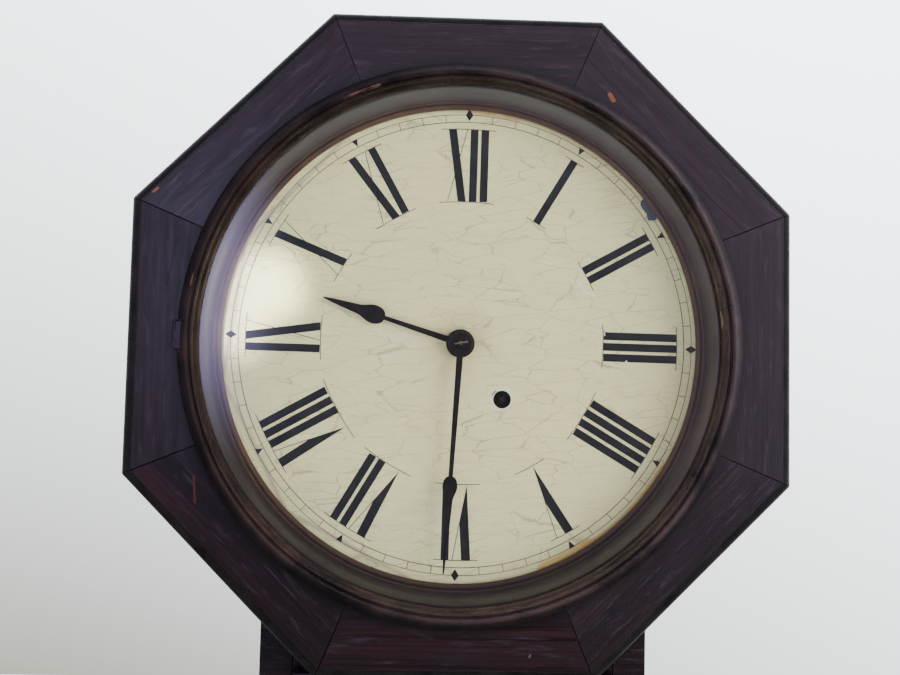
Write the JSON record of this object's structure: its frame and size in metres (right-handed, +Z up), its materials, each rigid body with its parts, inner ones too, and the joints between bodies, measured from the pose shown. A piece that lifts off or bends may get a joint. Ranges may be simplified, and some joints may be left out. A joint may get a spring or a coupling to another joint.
{
  "type": "schoolhouse wall clock",
  "caption": "Octagonal wall clock with a short drop case, round hinged glass bezel, Roman dial, spade hands, spring-driven going train and swinging pendulum.",
  "frame": {"origin": "on the wall plane at the back face of the case, straight behind the middle of the dial", "axes": "+Z up, +Y into the wall, so the dial faces -Y; +X to the right of someone facing the clock"},
  "size_m": [0.4, 0.1159, 0.535],
  "materials": {
    "stained_wood": "dark stained, worn shellac",
    "plain_wood": "bare, unfinished",
    "painted_dial": "aged cream paint, crazed",
    "glass": "clear, polished",
    "brass": "turned, lightly tarnished",
    "tarnished_brass": "spun, heavily tarnished",
    "blued_steel": "blued, gone brown",
    "steel": "plain, oiled",
    "putty": "hardened glazing putty"
  },
  "bodies": {
    "case": {"back_board": "plain_wood", "bezel_hinge_fixed_leaf": "tarnished_brass", "bezel_hinge_pin": "tarnished_brass", "case_bottom": "stained_wood", "case_side_left": "stained_wood", "case_side_right": "stained_wood", "case_slope_left": "stained_wood", "case_slope_right": "stained_wood", "case_top": "stained_wood", "dial": "painted_dial", "drop_door_hinge_fixed_leaf": "tarnished_brass", "drop_door_hinge_pin": "tarnished_brass", "front_frame": "stained_wood", "hanger_plate": "steel", "mainspring": "steel", "movement_back_plate": "brass", "movement_front_plate": "brass", "movement_pillar_1": "steel", "movement_pillar_2": "steel", "movement_pillar_3": "steel", "movement_pillar_4": "steel", "octagon_bottom": "stained_wood", "octagon_left": "stained_wood", "octagon_lower_left": "stained_wood", "octagon_lower_right": "stained_wood", "octagon_right": "stained_wood", "octagon_top": "stained_wood", "octagon_upper_left": "stained_wood", "octagon_upper_right": "stained_wood", "pendulum_cock": "brass", "sight_ring": "tarnished_brass", "trunk_inner_frame": "stained_wood"},
    "bezel_door": {"bezel_ring": "stained_wood", "bezel_glass": "glass", "bezel_putty": "putty", "bezel_hinge_moving_leaf": "tarnished_brass"},
    "drop_door": {"drop_door_frame": "stained_wood", "drop_door_glass": "glass", "drop_door_knob": "brass", "drop_door_hinge_moving_leaf": "tarnished_brass"},
    "minute_arbor": {"centre_wheel": "brass", "cannon_pinion": "brass", "minute_hand": "blued_steel", "hand_collet": "blued_steel"},
    "hour_pipe": {"hour_wheel": "brass", "hour_hand": "blued_steel"},
    "motion_wheel": {"minute_wheel": "brass"},
    "intermediate_arbor": {"intermediate_wheel": "brass"},
    "great_wheel_body": {"great_wheel": "brass"},
    "winding_body": {"winding_arbor": "steel"},
    "click_body": {"click": "steel"},
    "third_arbor": {"third_wheel": "brass"},
    "escape_arbor": {"escape_wheel": "brass"},
    "verge": {"pallets": "steel", "crutch": "steel"},
    "pendulum": {"suspension_spring": "steel", "pendulum_rod": "steel", "pendulum_bob": "brass"},
    "rating_nut_body": {"rating_nut": "brass"}
  },
  "joints": [
    {"name": "bezel_door_open", "type": "hinge", "parent": "case", "child": "bezel_door", "pos_m": [-0.1696, -0.1119, 0], "axis": [0, 0, -1], "range_deg": [0, 105]},
    {"name": "drop_door_open", "type": "hinge", "parent": "case", "child": "drop_door", "pos_m": [-0.101, -0.0814, -0.24], "axis": [0, 0, -1], "range_deg": [0, 100]},
    {"name": "minute_hand_turn", "type": "hinge", "parent": "case", "child": "minute_arbor", "pos_m": [0, -0.0655, 0], "axis": [0, 1, 0], "continuous": true},
    {"name": "hour_hand_turn", "type": "hinge", "parent": "case", "child": "hour_pipe", "pos_m": [0, -0.078, 0], "axis": [0, 1, 0], "continuous": true},
    {"name": "motion_wheel_turn", "type": "hinge", "parent": "case", "child": "motion_wheel", "pos_m": [-0.01273, -0.07, -0.01273], "axis": [0, 1, 0], "continuous": true},
    {"name": "intermediate_wheel_turn", "type": "hinge", "parent": "case", "child": "intermediate_arbor", "pos_m": [-0.00308, -0.06, -0.02355], "axis": [0, 1, 0], "continuous": true},
    {"name": "great_wheel_turn", "type": "hinge", "parent": "case", "child": "great_wheel_body", "pos_m": [0.0273, -0.059, -0.0348], "axis": [0, 1, 0], "continuous": true},
    {"name": "winding_turn", "type": "hinge", "parent": "great_wheel_body", "child": "winding_body", "pos_m": [0.0273, -0.062, -0.0348], "axis": [0, 1, 0], "continuous": true},
    {"name": "click_lift", "type": "hinge", "parent": "great_wheel_body", "child": "click_body", "pos_m": [0.0273, -0.057, -0.0198], "axis": [0, 1, 0], "range_deg": [0, 12], "stiffness_Nm_per_rad": 0.002},
    {"name": "third_wheel_turn", "type": "hinge", "parent": "case", "child": "third_arbor", "pos_m": [0.00976, -0.043, 0.01941], "axis": [0, 1, 0], "continuous": true},
    {"name": "escape_wheel_turn", "type": "hinge", "parent": "case", "child": "escape_arbor", "pos_m": [0, -0.038, 0.036], "axis": [0, 1, 0], "continuous": true},
    {"name": "pendulum_swing", "type": "hinge", "parent": "case", "child": "pendulum", "pos_m": [0, -0.022, 0.0595], "axis": [0, 1, 0], "range_deg": [-3.5, 3.5]},
    {"name": "verge_rock", "type": "hinge", "parent": "case", "child": "verge", "pos_m": [0, -0.038, 0.055], "axis": [0, 1, 0], "range_deg": [-4.2, 4.2]},
    {"name": "rating_nut_turn", "type": "hinge", "parent": "pendulum", "child": "rating_nut_body", "pos_m": [0, -0.022, -0.28], "axis": [0, 0, 1], "continuous": true}
  ],
  "couplings": [
    {"joint": "hour_hand_turn", "follows": "minute_hand_turn", "ratio": 0.083333},
    {"joint": "motion_wheel_turn", "follows": "minute_hand_turn", "ratio": -0.33333},
    {"joint": "intermediate_wheel_turn", "follows": "minute_hand_turn", "ratio": -0.25},
    {"joint": "great_wheel_turn", "follows": "minute_hand_turn", "ratio": 0.05},
    {"joint": "third_wheel_turn", "follows": "minute_hand_turn", "ratio": -10.286},
    {"joint": "escape_wheel_turn", "follows": "minute_hand_turn", "ratio": 102.86},
    {"joint": "verge_rock", "follows": "pendulum_swing", "ratio": 1.1324}
  ]
}
